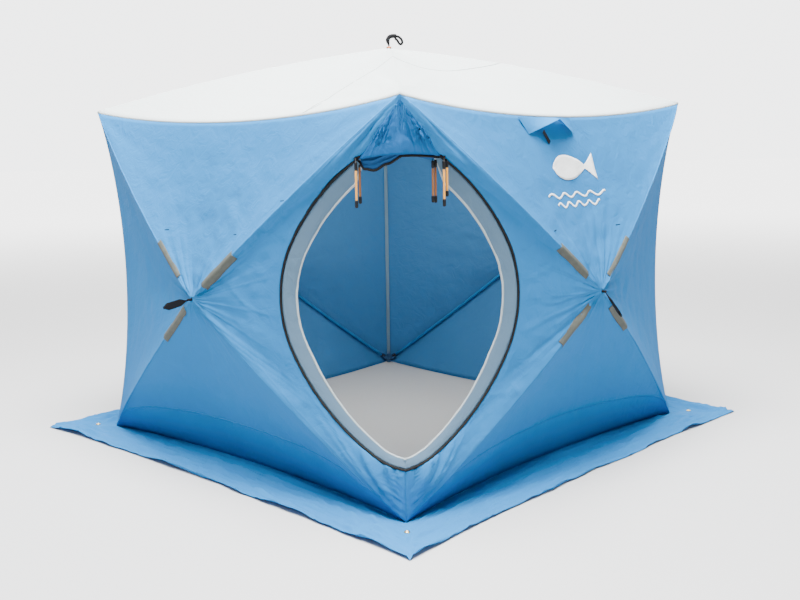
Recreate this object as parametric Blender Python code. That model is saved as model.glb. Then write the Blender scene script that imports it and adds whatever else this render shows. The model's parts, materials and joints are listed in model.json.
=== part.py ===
"""Hub-type ice fishing shelter, door corner towards -Y, standing on z = 0.

Each wall and the roof is a fabric cone from a central hub to its four corners. Four glass-fibre poles run
from each hub to the corner joints, and they swing when the hub is pushed through the wall to fold the
shelter. Metres, +Z up.
"""

import math

import bmesh
import bpy
from mathutils import Matrix, Vector

# Shelter
SIDE = 2.0  # fabric side at the ground and at the eaves
EAVE = 1.566
PEAK = 1.85
HUB_HEIGHT = 0.773
HUB_OUT = 0.206  # a wall hub stands this far outside the flat wall
EDGE_PULL = 0.093  # the fabric between two corners is drawn in at mid edge
EAVE_SAG = 0.07
EAVE_PULL = 0.02
BOTTOM_PULL = 0.08
POLE_BOW = 0.03
FABRIC = 0.003
WALL_FOOT = 0.005  # height of the walls' lower edge, on the skirt
ROOF_LIFT = 0.006  # the roof lies this far over the walls' top edge
CORNER_GAP = 0.004  # each wall stops this far short of its neighbour
SKIN_RADIUS = 0.155  # the loose fabric round a hub, a piece of its own
SKIN_HOLE = 0.0075
SKIN_GAP = 0.004

# Snow skirt
SKIRT_CORNER = 1.75
SKIRT_DRAW = 0.035
SKIRT_THICK = 0.004
SKIRT_TUCK = 0.004

# Poles and hubs
POLE_RADIUS = 0.0055
FERRULE_RADIUS = 0.0068
FERRULE_LENGTH = 0.05
POLE_SIDES = 8
HUB_DEPTH = 0.026  # pole axes meet this far inside the fabric
HUB_REACH = 0.050  # a pole ends this far from its hub's axis, clear of the hub at mid-travel
HUB_PLATE = 0.062
HUB_CORE = 0.018
PLATE_LEVELS = (-0.021, -0.016)  # levels are measured outwards from where the pole axes meet
CORE_LEVELS = (-0.018, 0.006)
CHEEK_LEVELS = (-0.018, 0.004)
CHEEK_OUT = 0.0118
STRAP_PIN = 0.012  # the strap's pin stands this far outside the fabric
PIN_RADIUS = 0.0022
PIN_HOLE = 0.0031
WALL_PIVOT = (0.935, 0.985)  # along the wall, and out from the middle
UPPER_PIVOT = 1.510
LOWER_PIVOT = 0.045
ROOF_PIVOT = (1.345, 1.548)  # out from the middle, and height
SLOT = 0.0076  # half the gap between two cheeks
CORE_OUT = 1.375  # a corner joint's post, out from the middle
CORE_RADIUS = 0.014

# Door, on the two flat planes that meet at the front corner; x runs across the unfolded door
DOOR_HALF_WIDTH = 0.555
DOOR_MIDDLE = 0.805
DOOR_ARCS = ((0.44, 30), (0.90, 62), (0.2964, 90))  # radius, and the angle where the arc ends
ZIP_HALF_WIDTH = 0.0055
FLAP_GAP = 0.0004
FLAP_WIDTH = 0.062
FLAP_FULL = 0.55  # above this height the flap has its full width
FLAP_NARROW = 0.20  # below this height it has half of it
ZIP_PARKED = 59  # degrees round the middle arc
SLIDER_LIFT = (0.0050, 0.0095)
PULL_LIFT = 0.0150
ROLL_HALF = 0.19
ROLL_LIFT = -0.036
ROLL_TOP = 1.371
ROLL_SLOPE = 0.35
ROLL_SAG = 0.012

# Vent hood on the front right wall: along the wall, and height
VENT_TOP = 1.488
VENT_LOW = 1.424
VENT_PEAK = (-0.095, 0.068)
VENT_LEFT = (-0.30, -0.256)
VENT_RIGHT = (0.062, 0.067)
VENT_LIFT = 0.010
STAY_FOOT = (-0.125, 0.0075, 1.392)  # along the wall, off it, and height
STAY_TIP = (-0.180, 0.030, 1.435)

WALLS = {"front_left": 225, "front_right": 315, "back_right": 45, "back_left": 135}
CORNERS = {"right": 0, "back": 90, "left": 180, "front": 270}
UP = Vector((0, 0, 1))

MATERIALS = {
    "blue_fabric": ((0.26, 0.55, 0.78), 0.75, 0),
    "roof_fabric": ((0.82, 0.85, 0.83), 0.7, 0),
    "pale_fabric": ((0.72, 0.74, 0.72), 0.8, 0),
    "black_webbing": ((0.02, 0.02, 0.022), 0.8, 0),
    "black_plastic": ((0.03, 0.03, 0.032), 0.45, 0),
    "glass_fibre": ((0.09, 0.09, 0.1), 0.35, 0),
    "orange_cord": ((0.85, 0.5, 0.12), 0.5, 0),
}


def turned(degrees):
    angle = math.radians(degrees)
    return Vector((math.cos(angle), math.sin(angle), 0))


def material(name):
    found = bpy.data.materials.get(name)
    if found:
        return found
    colour, roughness, metallic = MATERIALS[name]
    made = bpy.data.materials.new(name)
    made.use_nodes = True
    shader = made.node_tree.nodes["Principled BSDF"]
    shader.inputs["Base Color"].default_value = (*colour, 1)
    shader.inputs["Roughness"].default_value = roughness
    shader.inputs["Metallic"].default_value = metallic
    return made


def make(name, points, faces, finish, thickness=0.0):
    """An object from points and faces; a surface becomes a sheet, thickened away from its normals."""
    mesh = bpy.data.meshes.new(name)
    work = bmesh.new()
    verts = [work.verts.new(p) for p in points]
    for face in faces:
        work.faces.new([verts[i] for i in face])
    bmesh.ops.remove_doubles(work, verts=work.verts, dist=1e-5)
    work.to_mesh(mesh)
    work.free()
    mesh.materials.append(material(finish))
    made = bpy.data.objects.new(name, mesh)
    bpy.context.scene.collection.objects.link(made)
    if thickness:
        sheet = made.modifiers.new("thickness", "SOLIDIFY")
        sheet.thickness = thickness
        sheet.offset = -1
    return made


def combined(first, others, operation="UNION"):
    """The first object, with the others joined to it or cut from it."""
    for other in others:
        step = first.modifiers.new("combine", "BOOLEAN")
        step.operation = operation
        step.object = other
    bpy.context.view_layer.update()
    shape = first.evaluated_get(bpy.context.evaluated_depsgraph_get())
    mesh = bpy.data.meshes.new_from_object(shape)
    first.modifiers.clear()
    first.data = mesh
    for other in others:
        bpy.data.objects.remove(other)
    return first


def hinged_at(made, point):
    """Moves an object's origin to its joint, and leaves the shape where it is."""
    made.data.transform(Matrix.Translation(-Vector(point)))
    made.location = point
    return made


# Simple solids. A frame is (origin, x, y, z) with unit axes.
def in_frame(frame, x, y, z):
    origin, ax, ay, az = frame
    return origin + ax * x + ay * y + az * z


def prism(name, frame, outline, low, high, finish):
    """An outline in a frame's x and y, pushed along its z."""
    count = len(outline)
    points = [in_frame(frame, x, y, z) for z in (low, high) for x, y in outline]
    sides = [(i, (i + 1) % count, count + (i + 1) % count, count + i) for i in range(count)]
    caps = [tuple(reversed(range(count))), tuple(range(count, 2 * count))]
    return make(name, points, sides + caps, finish)


def round_outline(radius, sides):
    angles = [2 * math.pi * i / sides for i in range(sides)]
    return [(radius * math.cos(a), radius * math.sin(a)) for a in angles]


def box_outline(x0, x1, half):
    return [(x0, -half), (x1, -half), (x1, half), (x0, half)]


def tube(name, points, radii, finish, side, sides=POLE_SIDES):
    """A round bar along points, with one radius at each; side is any direction across it."""
    rings = []
    for i, point in enumerate(points):
        along = (points[min(i + 1, len(points) - 1)] - points[max(i - 1, 0)]).normalized()
        across = (side - along * side.dot(along)).normalized()
        other = along.cross(across)
        rings += [point + (across * x + other * y) for x, y in round_outline(radii[i], sides)]
    faces = []
    for i in range(len(points) - 1):
        for j in range(sides):
            k = (j + 1) % sides
            faces.append((i * sides + j, i * sides + k, (i + 1) * sides + k, (i + 1) * sides + j))
    last = (len(points) - 1) * sides
    faces += [tuple(reversed(range(sides))), tuple(range(last, last + sides))]
    return make(name, rings, faces, finish)


# Fabric
def wall_point(wall, along, out, height):
    facing = turned(WALLS[wall])
    return facing * out + UP.cross(facing) * along + UP * height


def wall_hub(wall):
    return wall_point(wall, 0, SIDE / 2 + HUB_OUT, HUB_HEIGHT)


def drawn(t):
    """How far an edge is drawn in at the fraction t along it."""
    return (4 * t * (1 - t)) ** 0.9 if 0 < t < 1 else 0.0


def edge_point(start, end, pull, t):
    return start.lerp(end, t) + pull * drawn(t)


def cone_point(hub, rim, facing, radius_in, fraction, t, bow=POLE_BOW):
    """A point between the hub's hole and the rim; the fabric stands proud over the poles, at t of 0 and 1."""
    ray = rim - hub
    flat = (ray - facing * ray.dot(facing)).length
    s = radius_in / flat + (1 - radius_in / flat) * fraction
    return hub + ray * s + facing * (bow * 4 * s * (1 - s) * abs(2 * t - 1) ** 1.5)


def cone_part(hub, start, end, pull, facing, hole, rows, columns, reach=None):
    """The grid of one triangle of a wall or of the roof: rows of points out from the hub."""
    grid = []
    for i in range(rows + 1):
        row = []
        for j in range(columns + 1):
            t = j / columns
            rim = edge_point(start, end, pull, t)
            if reach:
                ray = rim - hub
                rim = hub + ray * (reach / (ray - facing * ray.dot(facing)).length)
            row.append(cone_point(hub, rim, facing, hole, i / rows, t, 0 if reach else POLE_BOW))
        grid.append(row)
    return grid


def stitched(name, grids, finish, thickness=FABRIC, flip=False):
    """One sheet from several grids of points that share their edges."""
    points, faces = [], []
    for grid in grids:
        wide = len(grid[0])
        base = len(points)
        points += [p for row in grid for p in row]
        for i in range(len(grid) - 1):
            for j in range(wide - 1):
                a = base + i * wide + j
                quad = (a, a + wide, a + wide + 1, a + 1)
                faces.append(tuple(reversed(quad)) if flip else quad)
    return make(name, points, faces, finish, thickness)


def wall_edges(wall):
    """(start, end, pull) of a wall's bottom, right, top and left edges, seen from outside."""
    half = SIDE / 2
    low, high = WALL_FOOT, EAVE
    places = ((-half, low), (half, low), (half, high), (-half, high))
    ends = [wall_point(wall, u, half, z) for u, z in places]
    facing = turned(WALLS[wall])
    right, left = turned(WALLS[wall] + 45), turned(WALLS[wall] - 45)
    eave = UP * -EAVE_SAG - facing * EAVE_PULL
    pulls = (facing * -BOTTOM_PULL, right * -EDGE_PULL, eave, left * -EDGE_PULL)
    return [(ends[k], ends[(k + 1) % 4], pulls[k]) for k in range(4)]


def short_of_corner(wall, point):
    """Draws a wall's points in along it, so that two walls don't meet at the corner."""
    along = UP.cross(turned(WALLS[wall]))
    return point - along * point.dot(along) * CORNER_GAP


DOOR_EDGE = {"front_left": 1, "front_right": 3}  # which of a wall's edges is the door corner
ROWS, COLUMNS = 4, 6
DOOR_STEPS = ROWS + COLUMNS // 2  # pieces in a quarter of the door's outline


def door_side(wall, hub, facing, start, end):
    """The fabric between the hub and the door's outline, as a strip from the pole lines to the door."""
    still = Vector((0, 0, 0))
    grid = cone_part(hub, start, end, still, facing, SKIN_RADIUS + SKIN_GAP, ROWS, COLUMNS)
    outer = [row[0] for row in reversed(grid)] + grid[0][1:-1] + [row[-1] for row in grid]
    rising = end.z > start.z
    sign = -1 if wall == "front_left" else 1
    half = half_outline(ZIP_HALF_WIDTH + 0.002, DOOR_STEPS)
    inner = [door_point(sign * x, z, 0) for x, z in half]
    if rising:
        inner.reverse()
    middle = [a.lerp(b, 0.5) for a, b in zip(outer, inner, strict=True)]
    return [outer, middle, inner]


def make_wall(wall):
    hub, facing = wall_hub(wall), turned(WALLS[wall])
    grids = []
    for k, (start, end, pull) in enumerate(wall_edges(wall)):
        if DOOR_EDGE.get(wall) == k:
            grids.append(door_side(wall, hub, facing, start, end))
        else:
            grids.append(cone_part(hub, start, end, pull, facing, SKIN_RADIUS + SKIN_GAP, ROWS, COLUMNS))
    grids = [[[short_of_corner(wall, p) for p in row] for row in grid] for grid in grids]
    stitched(f"wall_{wall}", grids, "blue_fabric")
    skin = []
    for k, (start, end, pull) in enumerate(wall_edges(wall)):
        pull = pull * 0 if DOOR_EDGE.get(wall) == k else pull
        skin.append(cone_part(hub, start, end, pull, facing, SKIN_HOLE, 2, COLUMNS, SKIN_RADIUS))
    hinged_at(stitched(f"hub_skin_{wall}", skin, "blue_fabric", 0.002), hub)


def roof_edges():
    """(start, end, pull) of the roof's four eaves."""
    reach = SIDE / math.sqrt(2)
    edges = []
    for start, end in (("right", "back"), ("back", "left"), ("left", "front"), ("front", "right")):
        a, b = (turned(CORNERS[name]) * reach + UP * (EAVE + ROOF_LIFT) for name in (start, end))
        out = (a + b).normalized()
        out.z = 0
        edges.append((a, b, UP * -EAVE_SAG - out.normalized() * EAVE_PULL))
    return edges


def make_roof():
    peak = UP * PEAK
    inner = SKIN_RADIUS + SKIN_GAP
    grids = [cone_part(peak, a, b, pull, UP, inner, ROWS, COLUMNS) for a, b, pull in roof_edges()]
    stitched("roof_fabric", grids, "roof_fabric")
    skin = [
        cone_part(peak, a, b, pull, UP, SKIN_HOLE, 2, COLUMNS, SKIN_RADIUS)
        for a, b, pull in roof_edges()
    ]
    hinged_at(stitched("hub_skin_roof", skin, "roof_fabric", 0.002), peak)


def make_skirt():
    grids = []
    for wall in WALLS:
        facing = turned(WALLS[wall])
        start, end, pull = wall_edges(wall)[0]
        inner, outer = [], []
        for i in range(13):
            t = i / 12
            near = edge_point(start, end, pull, t)
            far = edge_point(start, end, facing * 0, t) * (SKIRT_CORNER * math.sqrt(2) / SIDE)
            far -= facing * SKIRT_DRAW * drawn(t)
            near *= 1 - SKIRT_TUCK / near.dot(facing)
            near.z = far.z = SKIRT_THICK
            inner.append(near)
            outer.append(far)
        grids.append([inner, outer])
    stitched("snow_skirt", grids, "blue_fabric", SKIRT_THICK)


# Door
def outline_arcs():
    """(centre x, centre z, radius, first angle, last angle) of the arcs in the upper right quarter."""
    x, z, first, before = DOOR_HALF_WIDTH, 0.0, 0, 0.0
    arcs = []
    for radius, last in DOOR_ARCS:
        step = before - radius
        x += step * math.cos(math.radians(first))
        z += step * math.sin(math.radians(first))
        arcs.append((x, z, radius, first, last))
        first, before = last, radius
    return arcs


def quarter_point(angle, offset):
    """A point of the outline's upper right quarter, moved out by an offset; the angle is its normal's."""
    for x, z, radius, _, last in outline_arcs():
        if angle <= last:
            break
    a = math.radians(angle)
    px = x + (radius + offset) * math.cos(a)
    return (0.0 if angle >= 90 else px), z + (radius + offset) * math.sin(a)


def half_outline(offset, steps):
    """The right half of the door's outline from top to bottom, as (x, height)."""
    upper = [quarter_point(90 - 90 * i / steps, offset) for i in range(steps + 1)]
    lower = [(x, -z) for x, z in reversed(upper[:-1])]
    return [(x, DOOR_MIDDLE + z) for x, z in upper + lower]


def door_point(x, z, lift):
    """A point on the unfolded door, carried onto the wall planes and lifted off the fabric."""
    corner = turned(CORNERS["front"]) * (SIDE / math.sqrt(2))
    across, out = door_axes(x)
    if x == 0:
        return corner + turned(CORNERS["front"]) * (lift / -out.y) + UP * z
    return corner + across * abs(x) + out * lift + UP * z


def door_axes(x):
    """(direction away from the corner, outward normal) of the door's plane on that side."""
    hub = wall_hub("front_left" if x < 0 else "front_right")
    corner = turned(CORNERS["front"]) * (SIDE / math.sqrt(2))
    across = hub - corner
    across.z = 0
    across.normalize()
    out = across.cross(UP) if x < 0 else UP.cross(across)
    return across, out if out.y < 0 else -out


def door_ring(name, inside, outside, low, high, finish):
    """A closed band that follows the door's outline; its two offsets are functions of the height."""
    corners = []
    for k, (_, z) in enumerate(half_outline(0, DOOR_STEPS)):
        near, far = (half_outline(offset(z), DOOR_STEPS)[k] for offset in (inside, outside))
        corners.append(((*near, low), (*far, low), (*far, high), (*near, high)))
    right = [(1, station) for station in corners]
    left = [(-1, station) for station in reversed(corners[1:-1])]
    points, faces = [], []
    for sign, station in right + left:
        points += [door_point(sign * x, z, lift) for x, z, lift in station]
    for a in range(0, len(points), 4):
        b = (a + 4) % len(points)
        for j in range(4):
            faces.append((a + j, a + (j + 1) % 4, b + (j + 1) % 4, b + j))
    return make(name, points, faces, finish)


def flap_width(z):
    """The storm flap narrows towards the door's foot."""
    full = (z - FLAP_NARROW) / (FLAP_FULL - FLAP_NARROW)
    return FLAP_WIDTH * (0.5 + 0.5 * min(1.0, max(0.0, full)))


def make_door():
    seam = -ZIP_HALF_WIDTH - FLAP_GAP
    door_ring("door_zip", lambda z: -ZIP_HALF_WIDTH, lambda z: ZIP_HALF_WIDTH, -0.003, 0.001, "black_webbing")
    door_ring("storm_flap", lambda z: seam - flap_width(z), lambda z: seam, -0.002, 0.0, "pale_fabric")
    roll, radii = [], []
    for i in range(9):
        x = -ROLL_HALF + 2 * ROLL_HALF * i / 8
        height = ROLL_TOP - ROLL_SLOPE * abs(x) - ROLL_SAG * (1 - abs(x) / ROLL_HALF)
        roll.append(door_point(x, height, ROLL_LIFT))
        radii.append(0.016 + 0.014 * (1 - (x / ROLL_HALF) ** 2))
    tube("door_roll", roll, radii, "blue_fabric", UP)
    make_tie("left", roll[2], roll[3] - roll[1])
    make_tie("right", roll[6], roll[5] - roll[7])


def make_tie(side, centre, along):
    """The webbing loop that holds the rolled door, with a tab up to the fabric."""
    along = along.normalized()
    across = along.cross(UP).normalized()
    frame = (centre, across, along.cross(across), along)
    outer = prism(f"door_tie_{side}", frame, round_outline(0.0335, 16), -0.01, 0.01, "black_webbing")
    inner = prism("tie_bore", frame, round_outline(0.0315, 16), -0.02, 0.02, "black_webbing")
    combined(outer, [inner], "DIFFERENCE")


# Frame
def pole_line(pivot, hub, facing):
    """A pole's bowed axis from its corner pivot towards the hub, as points 0 to 1."""
    ray = hub - pivot
    along = ray.normalized()
    bulge = (facing - along * facing.dot(along)).normalized()
    return lambda s: pivot + ray * s + bulge * (POLE_BOW * 4 * s * (1 - s))


def clevis_frame(pivot, hub, facing):
    """Pole direction, pin direction, and the third axis, at a pole's end."""
    line = pole_line(pivot, hub, facing)
    along = (line(0.03) - line(0)).normalized()
    pin = facing.cross(along).normalized()
    return pivot, along, pin, along.cross(pin)


def make_pole(name, pivot, hub, facing):
    line = pole_line(pivot, hub, facing)
    length = (hub - pivot).length
    end = 1 - HUB_REACH / length
    ferrule = FERRULE_LENGTH / length
    spots = [(-0.008 / length, FERRULE_RADIUS), (ferrule, FERRULE_RADIUS), (ferrule + 0.001, POLE_RADIUS)]
    spots += [(ferrule + (end - 2 * ferrule) * i / 8, POLE_RADIUS) for i in range(1, 8)]
    spots += [(end - ferrule - 0.001, POLE_RADIUS), (end - ferrule, FERRULE_RADIUS), (end, FERRULE_RADIUS)]
    pole = tube(name, [line(s) for s, _ in spots], [r for _, r in spots], "glass_fibre", facing)
    frame = clevis_frame(pivot, hub, facing)
    _, along, pin, third = frame
    bore = prism("bore", (pivot, third, along, pin), round_outline(PIN_HOLE, 8), -0.02, 0.02, "glass_fibre")
    hinged_at(combined(pole, [bore], "DIFFERENCE"), pivot)


def clevis(frame, back):
    """A forked lug with its pin, open towards the pole."""
    origin, along, pin, third = frame
    wide, front, root = 0.0122, 0.011, -0.012
    fork = [(-back, -wide), (front, -wide), (front, -SLOT), (root, -SLOT), (root, SLOT), (front, SLOT),
            (front, wide), (-back, wide)]
    lug = prism("lug", (origin, along, pin, third), fork, -0.0105, 0.0105, "black_plastic")
    axle = prism("axle", (origin, third, along, pin), round_outline(PIN_RADIUS, 8), -0.0115, 0.0115,
                 "black_plastic")
    return [lug, axle]


def wall_pivot(wall, side, upper):
    along, out = WALL_PIVOT
    return wall_point(wall, side * along, out, UPPER_PIVOT if upper else LOWER_PIVOT)


def wall_centre(wall):
    """Where a wall's pole axes meet."""
    return wall_point(wall, 0, SIDE / 2 + HUB_OUT - HUB_DEPTH, HUB_HEIGHT)


def corner_name(wall, side):
    angle = (WALLS[wall] + 45 * side) % 360
    return next(name for name, at in CORNERS.items() if at == angle)


def make_hub(name, centre, facing, pivots):
    """A hub: plate and core, a pair of cheeks beside each pole, and the stub that carries the strap."""
    side = (pivots[0] - centre).cross(facing).normalized()
    frame = (centre, side, facing.cross(side), facing)
    plate = prism(f"hub_{name}", frame, round_outline(HUB_PLATE, 24), *PLATE_LEVELS, "black_plastic")
    core = prism("core", frame, round_outline(HUB_CORE, 12), *CORE_LEVELS, "black_plastic")
    stub = prism("stub", frame, round_outline(0.0055, 10), 0.005, HUB_DEPTH + 0.004, "black_plastic")
    parts = [core, stub]
    for pivot in pivots:
        out = pivot - centre
        out = (out - facing * out.dot(facing)).normalized()
        across = facing.cross(out)
        for sign in (-1, 1):
            inner, outer = sign * SLOT, sign * CHEEK_OUT
            cheek = [(0.012, inner), (0.060, inner), (0.058, outer), (0.012, outer)]
            if sign < 0:
                cheek.reverse()
            along = (centre, out, across, facing)
            parts.append(prism("cheek", along, cheek, *CHEEK_LEVELS, "black_plastic"))
    hub = combined(plate, parts)
    hinged_at(combined(hub, strap_fork(centre, facing)), centre)


def strap_axis(facing):
    """The strap swings about a level line across its hub."""
    return Vector((0, 1, 0)) if facing.z > 0.5 else UP.cross(facing)


def strap_fork(centre, facing):
    """The fork on a hub's stub, with its pin, outside the fabric."""
    axis = strap_axis(facing)
    third = axis.cross(facing)
    origin = centre + facing * (HUB_DEPTH + STRAP_PIN)
    fork = [(-0.010, -0.0075), (0.004, -0.0075), (0.004, -0.0045), (-0.006, -0.0045), (-0.006, 0.0045),
            (0.004, 0.0045), (0.004, 0.0075), (-0.010, 0.0075)]
    lug = prism("lug", (origin, facing, axis, -third), fork, -0.004, 0.004, "black_plastic")
    pin = (origin, facing, third, axis)
    return [lug, prism("axle", pin, round_outline(0.0016, 8), -0.006, 0.006, "black_plastic")]


STRAP_ANGLES = {"front_left": 8, "front_right": 50, "back_right": 90, "back_left": 90, "roof": 0}


def make_strap(name, centre, facing):
    """A webbing pull: an eye round the fork's pin, then a flat loop at its angle below straight out."""
    axis = strap_axis(facing)
    down = axis.cross(facing) if facing.z > 0.5 else -UP
    angle = math.radians(STRAP_ANGLES[name])
    out = facing * math.cos(angle) + down * math.sin(angle)
    third = axis.cross(out)
    origin = centre + facing * (HUB_DEPTH + STRAP_PIN)
    reach = 0.07 if name == "roof" else 0.125
    flat = (origin, out, axis, -third)
    edgewise = (origin, out, third, axis)
    broad = edgewise if name == "front_left" else flat
    eye = prism(f"strap_{name}", edgewise, round_outline(0.0042, 12), -0.0035, 0.0035, "black_webbing")
    neck = prism("neck", flat, box_outline(0.0, 0.03, 0.003), -0.0025, 0.0025, "black_webbing")
    loop = prism("loop", broad, box_outline(0.022, reach, 0.015), -0.0035, 0.0035, "black_webbing")
    opening = box_outline(reach - 0.045, reach - 0.012, 0.008)
    hole = prism("hole", broad, opening, -0.01, 0.01, "black_webbing")
    bore = prism("bore", edgewise, round_outline(0.0024, 8), -0.02, 0.02, "black_webbing")
    hinged_at(combined(combined(eye, [neck, loop]), [hole, bore], "DIFFERENCE"), origin)


def make_corner(name):
    """The joint under the eave where two wall poles and a roof pole meet, and the foot below it."""
    out = turned(CORNERS[name])
    walls = [(wall, side) for wall in WALLS for side in (-1, 1) if corner_name(wall, side) == name]
    parts = []
    for wall, side in walls:
        pivot = wall_pivot(wall, side, True)
        parts += clevis(clevis_frame(pivot, wall_centre(wall), turned(WALLS[wall])), 0.036)
    parts += clevis(clevis_frame(roof_pivot(name), roof_centre(), UP), 0.032)
    core = (out * CORE_OUT, out, UP.cross(out), UP)
    joint = prism(f"corner_joint_{name}", core, round_outline(CORE_RADIUS, 12), 1.504, 1.560, "black_plastic")
    combined(joint, parts)
    parts = []
    for wall, side in walls:
        pivot = wall_pivot(wall, side, False)
        parts += clevis(clevis_frame(pivot, wall_centre(wall), turned(WALLS[wall])), 0.032)
    foot = prism(f"foot_{name}", core, round_outline(CORE_RADIUS, 12), 0.0, 0.052, "black_plastic")
    combined(foot, parts)


def roof_centre():
    return UP * (PEAK - HUB_DEPTH)


def roof_pivot(name):
    out, height = ROOF_PIVOT
    return turned(CORNERS[name]) * out + UP * height


def make_frame():
    for wall in WALLS:
        centre, facing = wall_centre(wall), turned(WALLS[wall])
        pivots = []
        for upper in (True, False):
            for side in (-1, 1):
                pivot = wall_pivot(wall, side, upper)
                level = "upper" if upper else "lower"
                make_pole(f"pole_{wall}_{level}_{corner_name(wall, side)}", pivot, centre, facing)
                pivots.append(pivot)
        make_hub(wall, centre, facing, pivots)
        make_strap(wall, centre, facing)
    pivots = [roof_pivot(name) for name in CORNERS]
    for name, pivot in zip(CORNERS, pivots, strict=True):
        make_pole(f"pole_roof_{name}", pivot, roof_centre(), UP)
        make_corner(name)
    make_hub("roof", roof_centre(), UP, pivots)
    make_strap("roof", roof_centre(), UP)


# Zip sliders and vent
def make_slider(name, sign):
    """A slider on the zip, with a bridge for its pull, and the hanging pull."""
    x, z = quarter_point(ZIP_PARKED, 0)
    x, z = sign * x, z + DOOR_MIDDLE
    across, out = door_axes(x)
    spot = door_point(x, z, 0)
    slope = math.radians(ZIP_PARKED)
    radial = across * math.cos(slope) + UP * math.sin(slope)
    low, high = SLIDER_LIFT
    wedge = [(-0.0065, -0.013), (0.0065, -0.013), (0.0075, 0.013), (-0.0075, 0.013)]
    body = (spot, radial, out.cross(radial), out)
    plate = prism(f"zip_slider_{name}", body, wedge, low, high, "black_plastic")
    sideways = across if across.cross(UP).dot(out) > 0 else -across
    level = (spot, sideways, UP, out)
    hinge = spot + out * PULL_LIFT
    pin = (hinge, UP, out, sideways)
    parts = [prism("bar", pin, round_outline(0.0012, 8), -0.005, 0.005, "black_plastic")]
    for edge in (-0.0052, 0.0028):
        post = [(edge, -0.003), (edge + 0.0024, -0.003), (edge + 0.0024, 0.003), (edge, 0.003)]
        parts.append(prism("post", level, post, high - 0.002, PULL_LIFT + 0.002, "black_plastic"))
    hinged_at(combined(plate, parts), spot)
    eye = prism(f"zip_pull_{name}", pin, round_outline(0.0036, 14), -0.0022, 0.0022, "orange_cord")
    profile = ((0.0029, 0.0015), (0.038, 0.0018), (0.041, 0.0042), (0.154, 0.0042), (0.157, 0.0062),
               (0.176, 0.0062), (0.179, 0.004))
    drops, radii = [hinge - UP * drop for drop, _ in profile], [radius for _, radius in profile]
    combined(eye, [tube("cord", drops, radii, "orange_cord", out, 9)])
    bore = prism("bore", pin, round_outline(0.002, 8), -0.01, 0.01, "orange_cord")
    hinged_at(combined(eye, [bore], "DIFFERENCE"), hinge)


def vent_point(along, lift, height):
    """A point on the front right wall's upper triangle, lifted off it."""
    hub, top = HUB_HEIGHT, EAVE - EAVE_SAG
    fall = (top - height) / (top - hub)
    out = SIDE / 2 - EAVE_PULL + (HUB_OUT + EAVE_PULL) * fall
    return wall_point("front_right", along, out + lift, height)


def make_vent():
    """The hood under the eave, and the stay that props it open."""
    base = VENT_LIFT
    peak, lift = VENT_PEAK
    top = [vent_point(u, base, VENT_TOP) for u in (VENT_LEFT[0], peak, VENT_RIGHT[0])]
    low = [vent_point(VENT_LEFT[1], base, VENT_LOW), vent_point(peak, lift, VENT_TOP),
           vent_point(VENT_RIGHT[1], base, VENT_LOW)]
    make("vent_hood", top + low, [(0, 3, 4), (0, 4, 1), (1, 4, 5), (1, 5, 2)], "blue_fabric", 0.0015)
    foot, tip = vent_point(*STAY_FOOT), vent_point(*STAY_TIP)
    along = (tip - foot).normalized()
    facing = turned(WALLS["front_right"])
    across = along.cross(facing).normalized()
    stay = prism("vent_stay", (foot, along, across, along.cross(across)),
                 box_outline(-0.006, (tip - foot).length, 0.0075), -0.0012, 0.0012, "black_webbing")
    hinged_at(stay, foot)


def main():
    for old in list(bpy.data.objects):
        bpy.data.objects.remove(old)
    for wall in WALLS:
        make_wall(wall)
    make_roof()
    make_skirt()
    make_frame()
    make_door()
    make_slider("left", -1)
    make_slider("right", 1)
    make_vent()


main()
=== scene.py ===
"""Looks of the pop-up ice fishing shelter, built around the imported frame. Metres, +Z up, door towards -Y."""

import json
import math

import bpy
import numpy as np
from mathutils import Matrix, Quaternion, Vector, noise
from mathutils.bvhtree import BVHTree
from mathutils.interpolate import poly_3d_calc


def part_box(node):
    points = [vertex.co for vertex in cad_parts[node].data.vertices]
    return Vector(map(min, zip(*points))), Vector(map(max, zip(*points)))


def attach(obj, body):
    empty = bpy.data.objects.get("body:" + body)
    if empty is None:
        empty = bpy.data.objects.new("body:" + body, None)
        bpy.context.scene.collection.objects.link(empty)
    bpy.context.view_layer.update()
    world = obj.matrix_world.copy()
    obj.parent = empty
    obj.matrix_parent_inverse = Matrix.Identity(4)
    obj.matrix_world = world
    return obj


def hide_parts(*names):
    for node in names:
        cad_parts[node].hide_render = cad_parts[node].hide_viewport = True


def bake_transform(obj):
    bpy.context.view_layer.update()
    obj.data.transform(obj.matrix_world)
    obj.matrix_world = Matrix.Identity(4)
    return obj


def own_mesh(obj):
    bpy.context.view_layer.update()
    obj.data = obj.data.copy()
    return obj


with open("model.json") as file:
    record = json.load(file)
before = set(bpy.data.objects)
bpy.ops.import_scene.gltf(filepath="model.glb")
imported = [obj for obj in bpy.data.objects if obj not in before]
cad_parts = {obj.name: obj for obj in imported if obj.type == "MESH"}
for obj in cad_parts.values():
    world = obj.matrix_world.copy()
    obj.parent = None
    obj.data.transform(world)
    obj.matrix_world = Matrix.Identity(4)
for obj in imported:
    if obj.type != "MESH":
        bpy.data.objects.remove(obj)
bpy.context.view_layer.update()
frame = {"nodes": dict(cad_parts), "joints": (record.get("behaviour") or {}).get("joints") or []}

# The frame's own sizes, as in its source
SIDE, EAVE, PEAK = 2.0, 1.566, 1.85
HUB_HEIGHT, HUB_OUT, HUB_DEPTH = 0.773, 0.206, 0.026
EDGE_PULL, EAVE_SAG, EAVE_PULL, BOTTOM_PULL = 0.093, 0.07, 0.02, 0.08
POLE_BOW = 0.03
WALL_FOOT, ROOF_LIFT = 0.005, 0.006
HOLE = 0.0075
OUTSIDE = 1.1  # a distance from the middle that is near the walls, for what is laid on them
SKIRT_CORNER, SKIRT_DRAW, SKIRT_TUCK = 1.75, 0.035, 0.004
DOOR_HALF_WIDTH, DOOR_MIDDLE = 0.555, 0.805
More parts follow.
